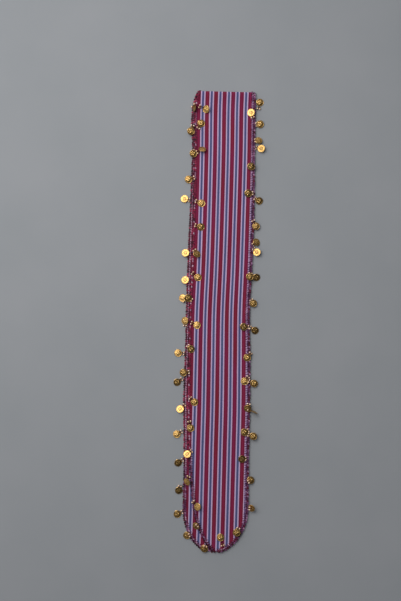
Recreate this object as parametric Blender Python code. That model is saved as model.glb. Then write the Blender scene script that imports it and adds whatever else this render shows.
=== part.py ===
"""Sequin bandana, folded once and laid flat.

A long striped band of woven cloth with round ends is folded across its middle, so that its upper
arm lies on its under arm. A crocheted edging runs all round the band, and gilt sequins hang from
the edging on short thread loops. X is across the band, +Y runs along it to the fold, and the
under arm's flat underside lies at z = 0.

Sizes are in millimetres here and are turned to metres where a point is made.
"""

import math
from collections import namedtuple

import bmesh
import bpy
import numpy as np
from mathutils import Vector

MM = 0.001

# The band, folded
ARM_LENGTH = 611.0        # from the fold to each tip
FOLD_Y = ARM_LENGTH / 2   # the fold's outside, with the origin at mid-length
CLOTH_WALL = 1.4
SEAM_GAP = 0.3            # between neighbouring pieces, and between the two arms
FOLD_RADIUS = 1.6         # of the cloth's middle as it turns over
FOLD_SPREAD = 9.0         # how far from the fold the soft roll flattens out
END_LENGTH = 56.0         # of each round end
END_POWER = 0.6           # 0.5 would be half an ellipse, and more is more pointed
END_ANGLE = math.radians(86)

UNDER_Z = CLOTH_WALL / 2
UPPER_Z = UNDER_Z + CLOTH_WALL + SEAM_GAP
FOLD_CENTRE_Z = UNDER_Z + FOLD_RADIUS
ROLL_RISE = UNDER_Z + 2 * FOLD_RADIUS - UPPER_Z
ARC_DISTANCE = FOLD_RADIUS + CLOTH_WALL / 2

# The edging and the pendants that are worked into it
EDGING_WIDTH = 3.3
EDGING_THICK = 1.4
EDGING_SEAM = 5.0         # where the under runs start, measured from the fold
FOLD_TURN = 7.0           # nearer the fold than this, the edging goes straight out sideways
SEQUIN_RADIUS = 5.0
SEQUIN_THICK = 0.8
SEQUIN_SIDES = 14
LOOP_WIDTH = 1.5
LOOP_ROOT = SEAM_GAP + 2.3   # out from the cloth's edge to where a loop grows from the edging
LOOP_RISE = 1.3           # length of the sloping root of a loop that climbs onto the cloth
KNOT_WIDTH = 1.4          # of the knot beneath a sequin that lies right on its stitch
KNOT_OUT = SEAM_GAP + 1.3    # out from the cloth's edge to that knot
BESIDE = SEQUIN_RADIUS + SEAM_GAP + 0.1   # a sequin nearer the cloth than this lies on top of it
TOP_Z = UPPER_Z + CLOTH_WALL / 2 + SEAM_GAP + 0.1 + SEQUIN_THICK / 2

# How each arm lies: the distance from the fold, how far the band's middle lies to the right, and
# the cloth's reach to the left and the right of that middle. Between rows it runs smoothly.
Row = namedtuple("Row", "distance shift left right")
Arm = namedtuple("Arm", "rows tip_x")
UPPER = Arm([
    Row(0, 4.8, 32.0, 36.0),
    Row(6, 4.8, 35.5, 37.0),
    Row(14, 4.7, 37.0, 37.3),
    Row(80, 5.3, 37.3, 37.5),
    Row(160, 5.3, 37.2, 38.7),
    Row(240, 4.7, 37.2, 38.0),
    Row(290, 3.7, 37.4, 37.6),
    Row(360, 4.3, 37.6, 39.4),
    Row(430, 5.0, 37.6, 39.8),
    Row(470, 4.9, 35.3, 40.0),
    Row(505, 4.9, 32.4, 40.2),
    Row(545, 4.9, 27.6, 41.0),
    Row(611, 4.9, 18.0, 41.0),
], tip_x=8.4)
UNDER = Arm([
    Row(0, 4.8, 32.0, 36.0),
    Row(6, 3.6, 35.5, 37.0),
    Row(14, 2.9, 37.0, 37.3),
    Row(80, 2.7, 37.0, 39.0),
    Row(145, 1.8, 37.0, 39.5),
    Row(215, 0.5, 37.0, 39.8),
    Row(275, -0.2, 37.0, 39.8),
    Row(345, 0.0, 37.0, 39.8),
    Row(410, -0.7, 37.0, 39.8),
    Row(470, 1.3, 37.0, 39.8),
    Row(505, 1.8, 37.0, 39.8),
    Row(550, 2.1, 37.0, 39.5),
    Row(611, 1.8, 37.0, 39.0),
], tip_x=-1.6)

# Where each sequin lies: the distance of its stitch from the fold, how far its middle lies
# outside the cloth's edge, or inside if negative, and how far it has swung towards the tip.
Pendant = namedtuple("Pendant", "stitch out along")


def between(rows, column, distance):
    """Read one column of an arm's rows at a distance, on a smooth curve through the rows."""
    xs = np.array([row.distance for row in rows], float)
    ys = np.array([getattr(row, column) for row in rows], float)
    slopes = np.gradient(ys, xs)
    i = min(max(int(np.searchsorted(xs, distance)) - 1, 0), len(xs) - 2)
    span = xs[i + 1] - xs[i]
    t = (distance - xs[i]) / span
    return ((1 + 2 * t) * (1 - t) ** 2 * ys[i] + t * (1 - t) ** 2 * span * slopes[i]
            + t * t * (3 - 2 * t) * ys[i + 1] + t * t * (t - 1) * span * slopes[i + 1])


def edges_x(arm, distance):
    """Return the x of the cloth's left and right edges, drawn in to the tip over the round end."""
    past = max(0.0, distance - (ARM_LENGTH - END_LENGTH)) / END_LENGTH
    keep = (1 - past ** 2) ** END_POWER
    middle = between(arm.rows, "shift", distance)
    left = middle - between(arm.rows, "left", distance)
    right = middle + between(arm.rows, "right", distance)
    return arm.tip_x + (left - arm.tip_x) * keep, arm.tip_x + (right - arm.tip_x) * keep


# One cross-section of the band: its arm, its distance from the fold, the height of the cloth's
# middle, and the direction that its outer face looks in.
Section = namedtuple("Section", "arm distance z normal")


def under_section(distance):
    return Section(UNDER, distance, UNDER_Z, Vector((0, 0, -1)))


def upper_section(distance):
    """Lie on the under arm, but for the soft roll beside the fold."""
    reach = (distance - ARC_DISTANCE) / FOLD_SPREAD
    roll = ROLL_RISE * math.exp(-reach ** 2)
    slope = -2 * reach / FOLD_SPREAD * roll
    return Section(UPPER, distance, UPPER_Z + roll, Vector((0, slope, 1)).normalized())


def arc_sections(steps=6):
    """Turn over the fold, from just above the under arm to the start of the upper arm."""
    sections = []
    for step in range(steps + 1):
        angle = math.pi * (step / steps - 0.5)
        arm = UNDER if angle < 0 else UPPER
        distance = ARC_DISTANCE - FOLD_RADIUS * math.cos(angle)
        z = FOLD_CENTRE_Z + FOLD_RADIUS * math.sin(angle)
        sections.append(Section(arm, distance, z, Vector((0, math.cos(angle), math.sin(angle)))))
    return sections


def arm_distances():
    """Space the sections out along an arm, closer together at the roll and the round end."""
    near_fold = [EDGING_SEAM, 8, 12, 16, 21, 28]
    straight = list(np.linspace(45, ARM_LENGTH - END_LENGTH - 25, 20))
    start = ARM_LENGTH - END_LENGTH
    round_end = [start + END_LENGTH * math.sin(a) for a in np.linspace(0, END_ANGLE, 10)]
    return near_fold + straight + round_end


def band_sections():
    """List the whole band's sections, from the under arm's tip over the fold to the upper tip."""
    distances = arm_distances()
    under = [under_section(d) for d in reversed(distances)]
    upper = [upper_section(d) for d in distances]
    return under + arc_sections() + upper


def point(x, section):
    return Vector((x, FOLD_Y - section.distance, section.z))


def new_object(name, bm, material):
    """Turn a bmesh drawn in millimetres into a named object in metres with its material."""
    bmesh.ops.scale(bm, vec=(MM, MM, MM), verts=bm.verts)
    bmesh.ops.recalc_face_normals(bm, faces=bm.faces)
    mesh = bpy.data.meshes.new(name)
    bm.to_mesh(mesh)
    bm.free()
    obj = bpy.data.objects.new(name, mesh)
    bpy.context.scene.collection.objects.link(obj)
    if material:
        mesh.materials.append(material)
    return obj


def make_material(name, colour, roughness, metallic=0.0):
    material = bpy.data.materials.new(name)
    material.use_nodes = True
    shader = material.node_tree.nodes["Principled BSDF"]
    shader.inputs["Base Color"].default_value = (*colour, 1)
    shader.inputs["Roughness"].default_value = roughness
    shader.inputs["Metallic"].default_value = metallic
    return material


def make_band_cloth(material, columns=8):
    """Loft the cloth's two faces through every section and close them along the cut edge."""
    bm = bmesh.new()
    outer, inner = [], []
    for section in band_sections():
        left, right = edges_x(section.arm, section.distance)
        offset = section.normal * (CLOTH_WALL / 2)
        middles = [point(x, section) for x in np.linspace(left, right, columns + 1)]
        outer.append([bm.verts.new(p + offset) for p in middles])
        inner.append([bm.verts.new(p - offset) for p in middles])
    for grid in (outer, inner):
        for row, following in zip(grid, grid[1:]):
            for k in range(columns):
                bm.faces.new((row[k], row[k + 1], following[k + 1], following[k]))
    for side in (0, -1):
        for i in range(len(outer) - 1):
            bm.faces.new((outer[i][side], outer[i + 1][side], inner[i + 1][side], inner[i][side]))
    for end in (0, -1):
        for k in range(columns):
            bm.faces.new((outer[end][k], outer[end][k + 1], inner[end][k + 1], inner[end][k]))
    return new_object("band_cloth", bm, material)


def edge_run(sections, side):
    """List an edging run's points on the cloth's cut edge, with the way out from the cloth.

    The run ends just short of the tip's middle, where it meets the other side's run.
    """
    sideways = Vector((1 if side else -1, 0, 0))
    points = [point(edges_x(s.arm, s.distance)[side], s) for s in sections]
    last = sections[-1]
    tip = point(last.arm.tip_x, last) + sideways * (SEAM_GAP / 2)
    run = []
    for before, section, here, after in zip([points[0]] + points, sections, points,
                                            points[1:] + [tip]):
        outward = sideways
        if section.distance > FOLD_TURN:
            outward = (after - before).cross(section.normal).normalized()
            if outward.dot(sideways) < 0:
                outward.negate()
        run.append((here, outward, section.normal))
    run.append((tip, Vector((0, -1, 0)), last.normal))
    return run


def make_strip(name, run, material):
    """Sweep the edging's flat section along its run."""
    bm = bmesh.new()
    rings = []
    for p, outward, normal in run:
        near = p + outward * SEAM_GAP
        far = p + outward * (SEAM_GAP + EDGING_WIDTH)
        up = normal * (EDGING_THICK / 2)
        rings.append([bm.verts.new(v) for v in (near + up, far + up, far - up, near - up)])
    for ring, following in zip(rings, rings[1:]):
        for k in range(4):
            bm.faces.new((ring[k], ring[k - 1], following[k - 1], following[k]))
    bm.faces.new(rings[0])
    bm.faces.new(rings[-1])
    return new_object(name, bm, material)


def stitch_frame(arm, side, distance):
    """Return the cut edge's point at a stitch, the way out of the cloth and the way to the tip."""
    def edge(d):
        return Vector((edges_x(arm, d)[side], FOLD_Y - d, 0))
    onward = (edge(distance + 1) - edge(distance - 1)).normalized()
    outward = Vector((-onward.y, onward.x, 0)) if side else Vector((onward.y, -onward.x, 0))
    return edge(distance), outward, onward


def add_plate(bm, outline):
    """Draw a closed plate, one sequin thick, around an outline."""
    half = Vector((0, 0, SEQUIN_THICK / 2))
    top = [bm.verts.new(p + half) for p in outline]
    bottom = [bm.verts.new(p - half) for p in outline]
    for k in range(len(outline)):
        bm.faces.new((top[k], top[k - 1], bottom[k - 1], bottom[k]))
    return top, bottom


def add_disc(bm, centre):
    angles = [2 * math.pi * k / SEQUIN_SIDES for k in range(SEQUIN_SIDES)]
    rim = [centre + SEQUIN_RADIUS * Vector((math.cos(a), math.sin(a), 0)) for a in angles]
    for ring in add_plate(bm, rim):
        bm.faces.new(ring)


def add_knot(bm, foot, head):
    """Draw the short upright knot that joins a sequin to the stitch beneath it."""
    half = KNOT_WIDTH / 2
    corners = [Vector((sx * half, sy * half, 0)) for sx, sy in ((1, 1), (-1, 1), (-1, -1), (1, -1))]
    low = [bm.verts.new(foot + c) for c in corners]
    high = [bm.verts.new(head + c) for c in corners]
    bm.faces.new(low)
    bm.faces.new(high)
    for k in range(4):
        bm.faces.new((high[k], high[k - 1], low[k - 1], low[k]))


def add_lollipop(bm, root, centre):
    """Draw a loop and its sequin in one plate, whose root slopes up to the sequin's level."""
    flat_way = Vector((centre.x - root.x, centre.y - root.y, 0)).normalized()
    across = Vector((-flat_way.y, flat_way.x, 0)) * (LOOP_WIDTH / 2)
    knee = root + flat_way * LOOP_RISE
    knee.z = centre.z
    opening = math.asin(LOOP_WIDTH / 2 / SEQUIN_RADIUS)
    start = math.atan2(-flat_way.y, -flat_way.x) - opening
    sweep = 2 * math.pi - 2 * opening
    angles = [start - sweep * k / (SEQUIN_SIDES - 1) for k in range(SEQUIN_SIDES)]
    rim = [centre + SEQUIN_RADIUS * Vector((math.cos(a), math.sin(a), 0)) for a in angles]
    outline = [root + across, knee + across] + rim + [knee - across, root - across]
    for ring in add_plate(bm, outline):
        bm.faces.new(ring[1:-1])
        bm.faces.new((ring[0], ring[1], ring[-2], ring[-1]))


def add_pendant(bm, arm, side, pendant):
    """Draw one sequin, and join it to the edging by its loop or by a knot beneath it."""
    edge, outward, onward = stitch_frame(arm, side, pendant.stitch)
    edging_z = Vector((0, 0, UNDER_Z if arm is UNDER else UPPER_Z))
    out = max(pendant.out, BESIDE) if arm is UNDER else pendant.out
    on_top = out < BESIDE
    root = edge + outward * LOOP_ROOT + edging_z
    centre = edge + outward * out + onward * pendant.along
    centre.z = TOP_Z if on_top else edging_z.z
    reach = math.hypot(out - LOOP_ROOT, pendant.along)
    if reach > SEQUIN_RADIUS + LOOP_RISE:
        add_lollipop(bm, root, centre)
        return
    add_disc(bm, centre)
    if on_top:
        foot = edge + outward * KNOT_OUT + onward * pendant.along + edging_z
        head = Vector((foot.x, foot.y, centre.z))
        add_knot(bm, foot, head)


def make_edging(name, arm, side, pendants, material):
    """Build one run of edging with its pendants as a single body."""
    if arm is UNDER:
        sections = [under_section(d) for d in arm_distances()]
    else:
        turn = [under_section(EDGING_SEAM - SEAM_GAP)] + arc_sections()
        sections = turn + [upper_section(d) for d in arm_distances()]
    strip = make_strip(name, edge_run(sections, side), material)
    bm = bmesh.new()
    for pendant in pendants:
        add_pendant(bm, arm, side, pendant)
    locks = new_object(name + "_locks", bm, None)
    union = strip.modifiers.new("Worked in", "BOOLEAN")
    union.operation = "UNION"
    union.object = locks
    union.use_self = True
    locks.hide_render = True
    locks.display_type = "WIRE"
    return strip


LEFT, RIGHT = 0, 1
UPPER_LEFT_PENDANTS = [
    Pendant(20.0, -13.0, 4.0),
    Pendant(51.0, -7.5, -7.0),
    Pendant(83.0, -8.0, -5.0),
    Pendant(115.5, 9.5, 2.5),
    Pendant(146.5, -8.5, 3.0),
    Pendant(178.5, -8.5, 2.5),
    Pendant(210.5, -4.5, 6.5),
    Pendant(241.0, -7.0, 7.0),
    Pendant(279.5, 4.5, -3.5),
    Pendant(307.5, -8.5, 4.0),
    Pendant(338.0, -1.0, 5.5),
    Pendant(373.5, 8.5, 1.5),
    Pendant(407.5, -7.0, 6.5),
    Pendant(438.5, -1.5, 10.0),
    Pendant(478.5, 4.5, 4.0),
    Pendant(511.0, 7.5, 8.0),
    Pendant(544.0, -3.0, 8.5),
    Pendant(575.5, 4.0, 1.5),
    Pendant(601.5, 8.0, 2.0),
]
UPPER_RIGHT_PENDANTS = [
    Pendant(35.5, -3.0, -8.0),
    Pendant(65.0, 8.0, -1.0),
    Pendant(99.5, -2.0, 0.0),
    Pendant(134.5, -5.5, 0.5),
    Pendant(169.5, 6.0, 8.5),
    Pendant(204.0, 7.5, -5.0),
    Pendant(239.5, 0.5, 6.0),
    Pendant(274.5, 7.5, 6.0),
    Pendant(312.5, -5.0, -0.5),
    Pendant(345.5, -1.0, 7.5),
    Pendant(377.5, -4.5, 7.0),
    Pendant(413.0, 0.0, 7.5),
    Pendant(449.5, -3.5, 2.5),
    Pendant(487.0, -6.0, 0.5),
    Pendant(517.5, 6.0, -1.5),
    Pendant(552.5, 7.0, 0.0),
    Pendant(580.5, -5.0, 7.5),
    Pendant(607.0, -15.5, -1.5),
]
UNDER_LEFT_PENDANTS = [
    Pendant(22.0, 0.5, 1.5),
    Pendant(44.5, 4.5, 9.5),
    Pendant(81.0, 1.5, 3.0),
    Pendant(146.0, 11.0, -2.0),
    Pendant(213.0, 6.5, 3.0),
    Pendant(248.0, 5.5, 4.0),
    Pendant(282.0, 8.0, -6.0),
    Pendant(314.0, 4.5, -8.0),
    Pendant(350.0, 12.5, -0.5),
    Pendant(382.5, 12.0, 6.0),
    Pendant(417.0, 7.5, 6.5),
    Pendant(453.0, 12.5, 4.0),
    Pendant(490.0, 10.5, 5.5),
    Pendant(525.5, 9.0, 6.5),
    Pendant(559.5, 10.5, 3.5),
    Pendant(588.5, 4.5, 1.5),
]
UNDER_RIGHT_PENDANTS = [
    Pendant(23.5, 10.5, -10.5),
    Pendant(44.0, 11.5, -1.5),
    Pendant(73.0, 12.5, 2.0),
    Pendant(140.0, 12.0, 4.0),
    Pendant(207.0, 11.5, 5.5),
    Pendant(242.0, 12.5, 4.0),
    Pendant(312.0, 12.5, 5.0),
    Pendant(383.0, 13.5, 4.0),
    Pendant(420.0, 14.0, 5.0),
    Pendant(455.0, 12.5, 2.5),
]


def main():
    for obj in list(bpy.data.objects):
        bpy.data.objects.remove(obj, do_unlink=True)
    weave = make_material("Striped weave", (0.20, 0.05, 0.09), 0.8)
    thread = make_material("Burgundy thread", (0.12, 0.01, 0.04), 0.7)
    make_band_cloth(weave)
    make_edging("edging_upper_left", UPPER, LEFT, UPPER_LEFT_PENDANTS, thread)
    make_edging("edging_upper_right", UPPER, RIGHT, UPPER_RIGHT_PENDANTS, thread)
    make_edging("edging_under_left", UNDER, LEFT, UNDER_LEFT_PENDANTS, thread)
    make_edging("edging_under_right", UNDER, RIGHT, UNDER_RIGHT_PENDANTS, thread)


main()
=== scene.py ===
# %% [markdown]
# # A sequin bandana, folded and laid flat
# The real thing is a long head tie: a striped woven band with round ends and a crocheted edging,
# hung all round with gilt sequins on short thread loops. It lies folded across its middle.
# Everything here is fitted to solids of the same size, so this first cell loads them. All the
# sizes below are in millimetres, and are turned into metres only where an object is made.

# %% Load the solids that the looks are fitted to
import math
from collections import namedtuple

import bmesh
import bpy
import numpy as np
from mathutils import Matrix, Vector


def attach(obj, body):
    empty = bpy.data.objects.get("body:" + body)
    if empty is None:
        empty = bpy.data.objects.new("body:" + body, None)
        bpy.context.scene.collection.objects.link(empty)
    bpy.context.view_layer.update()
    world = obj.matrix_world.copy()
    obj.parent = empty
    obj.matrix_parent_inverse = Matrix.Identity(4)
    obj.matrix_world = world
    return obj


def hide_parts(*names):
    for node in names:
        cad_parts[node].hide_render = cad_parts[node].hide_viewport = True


MM = 0.001
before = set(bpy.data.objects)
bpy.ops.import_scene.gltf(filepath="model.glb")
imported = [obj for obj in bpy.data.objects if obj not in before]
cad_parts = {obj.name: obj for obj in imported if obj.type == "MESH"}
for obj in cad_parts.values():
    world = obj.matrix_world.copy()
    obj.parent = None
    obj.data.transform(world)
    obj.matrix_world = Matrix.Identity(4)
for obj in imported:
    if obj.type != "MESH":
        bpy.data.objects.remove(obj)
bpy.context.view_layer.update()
print("solids to dress:", ", ".join(sorted(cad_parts)))

# %% [markdown]
# ## The camera
# The photograph was taken from straight above, with the band turned a degree and a half. A camera
# looks down its own -Z, so without any tilt it already looks at the floor. It only needs its
# height, worked out from the lens and the stretch of floor that it has to take in, and the turn.

# %% Look straight down
VIEW_HEIGHT = 801.3      # the long side of the picture, measured on the floor
VIEW_MIDDLE = (-21.4, 26.8)
BAND_TURN = 1.45         # degrees
LENS = 50.0
SENSOR = 36.0
camera = bpy.data.objects.new("overhead_camera", bpy.data.cameras.new("overhead_camera"))
camera.data.lens = LENS
camera.data.sensor_width = SENSOR
camera.location = Vector((*VIEW_MIDDLE, VIEW_HEIGHT * LENS / SENSOR)) * MM
camera.rotation_euler = (0, 0, math.radians(BAND_TURN))
bpy.context.scene.collection.objects.link(camera)
bpy.context.scene.camera = camera
print(f"the camera is {camera.location.z:.3f} m above the floor")

# %% [markdown]
# ## Colours and nodes
# Colours are given as sRGB hex values, and shaders work in linear light, so one function
# turns the first into the second. A node graph is only a list of nodes and of what feeds them.
# One helper that adds a node, sets its options and fills its sockets is enough to write any of it.

# %% Helpers for colours and nodes
def linear(hex_colour):
    channels = [int(hex_colour[i:i + 2], 16) / 255 for i in (1, 3, 5)]
    return [c / 12.92 if c <= 0.04045 else ((c + 0.055) / 1.055) ** 2.4 for c in channels] + [1.0]


def add(tree, kind, sockets=None, **settings):
    """Add a node. Its sockets take plain values, or the output of another node as a link."""
    node = tree.nodes.new(kind)
    for name, value in settings.items():
        setattr(node, name, value)
    for key, value in (sockets or {}).items():
        if isinstance(value, bpy.types.NodeSocket):
            tree.links.new(value, node.inputs[key])
        else:
            node.inputs[key].default_value = value
    return node


def fill_ramp(node, stops):
    """Give a colour ramp its stops: (place from 0 to 1, hex colour)."""
    ramp = node.color_ramp
    while len(ramp.elements) < len(stops):
        ramp.elements.new(1.0)
    for element, (place, colour) in zip(ramp.elements, stops):
        element.position = place
        element.color = linear(colour)


def new_material(name):
    material = bpy.data.materials.new(name)
    material.use_nodes = True
    tree = material.node_tree
    return material, tree, tree.nodes["Principled BSDF"]


print("crimson in linear light:", [round(c, 3) for c in linear("#7A203C")[:3]])

# %% [markdown]
# ## The floor and the light
# The band lies on plain grey studio paper. One soft lamp stands close by at the upper left, so its
# light falls off towards the lower right, and the room does the rest: pale on the lamp's side and
# dim on the other. Polished metal has no look of its own and shows what it mirrors, so the dim
# side matters as much as the lamp: sequins that face it turn dark.

# %% Paper, sky and lamps
def studio_paper():
    """Matt grey backdrop paper: plain, with the faintest mottle."""
    material, tree, shader = new_material("grey_studio_paper")
    place = add(tree, "ShaderNodeTexCoord")
    mottle = add(tree, "ShaderNodeTexNoise", {"Vector": place.outputs["Object"], "Scale": 9.0,
                                              "Detail": 3.0})
    tone = add(tree, "ShaderNodeValToRGB", {"Fac": mottle.outputs["Fac"]})
    fill_ramp(tone, [(0.3, "#929598"), (0.7, "#97999C")])
    tree.links.new(tone.outputs["Color"], shader.inputs["Base Color"])
    shader.inputs["Roughness"].default_value = 0.9
    return material


FLOOR_REACH = 6000.0
FLOOR_DROP = 0.1         # below the band, so that the two surfaces never coincide
reach = FLOOR_REACH * MM
paper = bpy.data.meshes.new("studio_floor")
paper.from_pydata([(-reach, -reach, 0), (reach, -reach, 0), (reach, reach, 0), (-reach, reach, 0)],
                  [], [(0, 1, 2, 3)])
paper.materials.append(studio_paper())
floor = bpy.data.objects.new("studio_floor", paper)
floor.location.z = -FLOOR_DROP * MM
bpy.context.scene.collection.objects.link(floor)

LAMP_PLACE = Vector((-450, 450, 1000)) * MM
LAMP_SIZE = 750.0
LAMP_WATTS = 8.7
lamp = bpy.data.objects.new("main_lamp", bpy.data.lights.new("main_lamp", "AREA"))
lamp.data.size = LAMP_SIZE * MM
lamp.data.energy = LAMP_WATTS
lamp.location = LAMP_PLACE
lamp.rotation_euler = (-LAMP_PLACE).to_track_quat("-Z", "Y").to_euler()
bpy.context.scene.collection.objects.link(lamp)

TOWARDS_LAMP = (-0.707, 0.707, 0)
room = bpy.data.worlds.new("pale_and_dim_room")
room.use_nodes = True
around = add(room.node_tree, "ShaderNodeTexCoord")
to_lamp = add(room.node_tree, "ShaderNodeVectorMath",
              {0: around.outputs["Generated"], 1: TOWARDS_LAMP}, operation="DOT_PRODUCT")
glow = add(room.node_tree, "ShaderNodeMapRange",
           {"Value": to_lamp.outputs["Value"], "From Min": -0.35, "From Max": 0.85,
            "To Min": 0.06, "To Max": 0.95})
backdrop = room.node_tree.nodes["Background"]
backdrop.inputs["Color"].default_value = linear("#F4F6FA")
room.node_tree.links.new(glow.outputs["Result"], backdrop.inputs["Strength"])
bpy.context.scene.world = room
bpy.context.scene.view_settings.view_transform = "Standard"
print(f"{lamp.name}: {LAMP_WATTS} W, {LAMP_PLACE.length:.2f} m from the band")

# %% [markdown]
# ## How the band lies
# A folded cloth is easiest to describe from its fold: at each distance along an arm, where is the
# middle, and how far does the cloth reach to each side? One short table for each arm answers
# that, and a smooth curve runs between its rows. The round ends follow one formula. The upper arm
# narrows on its left towards the tip, so that the under arm shows beside it.

# %% The two arms
ARM_LENGTH = 611.0
FOLD_Y = ARM_LENGTH / 2
END_LENGTH = 56.0                        # of each round end
END_START = ARM_LENGTH - END_LENGTH
END_POWER = 0.6                          # 0.5 would be half an ellipse
Row = namedtuple("Row", "distance shift left right")
Arm = namedtuple("Arm", "rows tip_x")
UPPER = Arm([
    Row(0, 4.8, 34.0, 36.0),
    Row(6, 4.8, 35.5, 37.0),
    Row(14, 4.7, 37.0, 37.3),
    Row(80, 5.3, 37.3, 37.5),
    Row(160, 5.3, 37.2, 38.7),
    Row(240, 4.7, 37.2, 38.0),
    Row(290, 3.7, 37.4, 37.6),
    Row(360, 4.3, 37.6, 39.4),
    Row(430, 5.0, 37.6, 39.8),
    Row(470, 4.9, 35.3, 40.0),
    Row(505, 4.9, 32.4, 40.2),
    Row(545, 4.9, 27.6, 41.0),
    Row(611, 4.9, 18.0, 41.0),
], tip_x=8.4)
UNDER = Arm([
    Row(0, 4.8, 34.0, 36.0),
    Row(6, 3.6, 35.5, 37.0),
    Row(14, 2.9, 37.0, 37.3),
    Row(80, 2.7, 37.0, 39.0),
    Row(145, 1.8, 37.0, 39.5),
    Row(215, 0.5, 37.0, 39.8),
    Row(275, -0.2, 37.0, 39.8),
    Row(345, 0.0, 37.0, 39.8),
    Row(410, -0.7, 37.0, 39.8),
    Row(470, 1.3, 37.0, 39.8),
    Row(505, 1.8, 37.0, 39.8),
    Row(550, 2.1, 37.0, 39.5),
    Row(611, 1.8, 37.0, 39.0),
], tip_x=-1.6)


def read(rows, column, distance):
    """Read one column at a distance, on a smooth curve through the rows."""
    xs = np.array([row.distance for row in rows], float)
    ys = np.array([getattr(row, column) for row in rows], float)
    slopes = np.gradient(ys, xs)
    i = np.clip(np.searchsorted(xs, distance) - 1, 0, len(xs) - 2)
    span = xs[i + 1] - xs[i]
    t = (distance - xs[i]) / span
    return ((1 + 2 * t) * (1 - t) ** 2 * ys[i] + t * (1 - t) ** 2 * span * slopes[i]
            + t * t * (3 - 2 * t) * ys[i + 1] + t * t * (t - 1) * span * slopes[i + 1])


def edges_x(arm, distance):
    """Return the x of the cloth's two edges, drawn in to the tip over the round end."""
    past = np.clip(distance - END_START, 0, END_LENGTH) / END_LENGTH
    keep = (1 - past ** 2) ** END_POWER
    middle = read(arm.rows, "shift", distance)
    left = middle - read(arm.rows, "left", distance)
    right = middle + read(arm.rows, "right", distance)
    return arm.tip_x + (left - arm.tip_x) * keep, arm.tip_x + (right - arm.tip_x) * keep


left, right = edges_x(UPPER, 300.0)
print(f"the upper arm is {right - left:.1f} mm wide at mid-length")

# %% [markdown]
# ## Heights, and the swells in the upper arm
# The under arm lies flat on the floor. At the fold the cloth turns over in a small soft roll, and
# the upper arm lies on the under arm. Such cloth never lies quite flat on itself, so a few low
# swells are placed on the upper arm, each with its own size and slant. They are under a
# millimetre high, and are seen only as soft changes of light.

# %% Sections of the band
CLOTH_WALL = 1.2
UNDER_Z = 0.7          # heights are those of the middle of the wall
UPPER_Z = 2.4
FOLD_RADIUS = 1.6
FOLD_CENTRE_Z = UNDER_Z + FOLD_RADIUS
ARC_DISTANCE = 2.3     # from the outside of the fold to where the roll ends
ROLL_RISE = UNDER_Z + 2 * FOLD_RADIUS - UPPER_Z
ROLL_SPREAD = 9.0
SWELLS_START = 5.0     # nearer the fold than this, there are none
SWELLS_GROW = 20.0     # and over this length they come up to their full height
Swell = namedtuple("Swell", "distance across length width height slant")
SWELLS = [
    Swell(34, -12, 15, 30, 0.40, 0.10),
    Swell(88, 16, 20, 26, 0.35, -0.20),
    Swell(131, -20, 26, 20, 0.45, 0.15),
    Swell(187, 8, 18, 34, 0.30, 0.25),
    Swell(243, 22, 24, 18, 0.50, -0.10),
    Swell(276, -18, 16, 24, 0.35, 0.20),
    Swell(338, 2, 30, 28, 0.45, -0.15),
    Swell(395, 20, 17, 22, 0.40, 0.30),
    Swell(440, -14, 22, 20, 0.50, -0.25),
    Swell(498, 12, 20, 30, 0.40, 0.10),
    Swell(556, 4, 16, 22, 0.35, -0.10),
]
Section = namedtuple("Section", "arm distance z normal")


def unit(vectors):
    """Return one vector, or each row of several, at length 1."""
    vectors = np.asarray(vectors, float)
    return vectors / np.linalg.norm(vectors, axis=-1, keepdims=True)


def swell(across, distance):
    """Return how far the upper arm stands up over its flat lie."""
    total = 0.0 * across
    for s in SWELLS:
        along = (distance - s.distance - s.slant * across) / s.length
        aside = (across - s.across) / s.width
        total = total + s.height * np.exp(-along ** 2 - aside ** 2)
    return total * np.clip((distance - SWELLS_START) / SWELLS_GROW, 0, 1)


def under_section(distance):
    return Section(UNDER, distance, UNDER_Z, np.array([0.0, 0.0, -1.0]))


def upper_section(distance):
    spread = (distance - ARC_DISTANCE) / ROLL_SPREAD
    roll = ROLL_RISE * math.exp(-spread ** 2)
    normal = unit([0.0, -2 * spread / ROLL_SPREAD * roll, 1.0])
    return Section(UPPER, distance, UPPER_Z + roll, normal)


def arc_sections(steps=12):
    sections = []
    for angle in np.linspace(-math.pi / 2, math.pi / 2, steps + 1)[1:-1]:
        arm = UNDER if angle < 0 else UPPER
        normal = np.array([0.0, math.cos(angle), math.sin(angle)])
        distance = ARC_DISTANCE - FOLD_RADIUS * math.cos(angle)
        sections.append(Section(arm, distance, FOLD_CENTRE_Z + FOLD_RADIUS * normal[2], normal))
    return sections


def arm_distances():
    """Space sections 1 mm apart by the fold, 4 mm along the arm and closer round the end."""
    near_until = 30
    near = np.arange(ARC_DISTANCE, near_until, 1.0)
    straight = np.arange(near_until + 2, END_START, 4.0)
    turn = np.radians(np.linspace(0, 89, 60))
    return np.concatenate([near, straight, END_START + END_LENGTH * np.sin(turn)])


BAND = [under_section(d) for d in arm_distances()[::-1]]
BAND += arc_sections()
BAND += [upper_section(d) for d in arm_distances()]
print(f"{len(BAND)} sections from tip to tip")

# %% [markdown]
# ## The woven cloth as a material
# The band is warp-faced cotton: its long threads are packed so tightly that they hide the cross
# threads, which is why the stripes run lengthwise and have clean edges. Seven crimson stripes are
# parted by a lilac, a blue-grey and a lilac line. The mesh carries a UV map in which U is the
# place across the loom and V the place along it, so the stripes follow the cloth over the fold.
# A repeating ramp paints them. Real threads would be about 0.4 mm, too fine to show, so the weave
# is drawn at 0.8 mm. It is bump, with a little colour from yarn to yarn.

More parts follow.
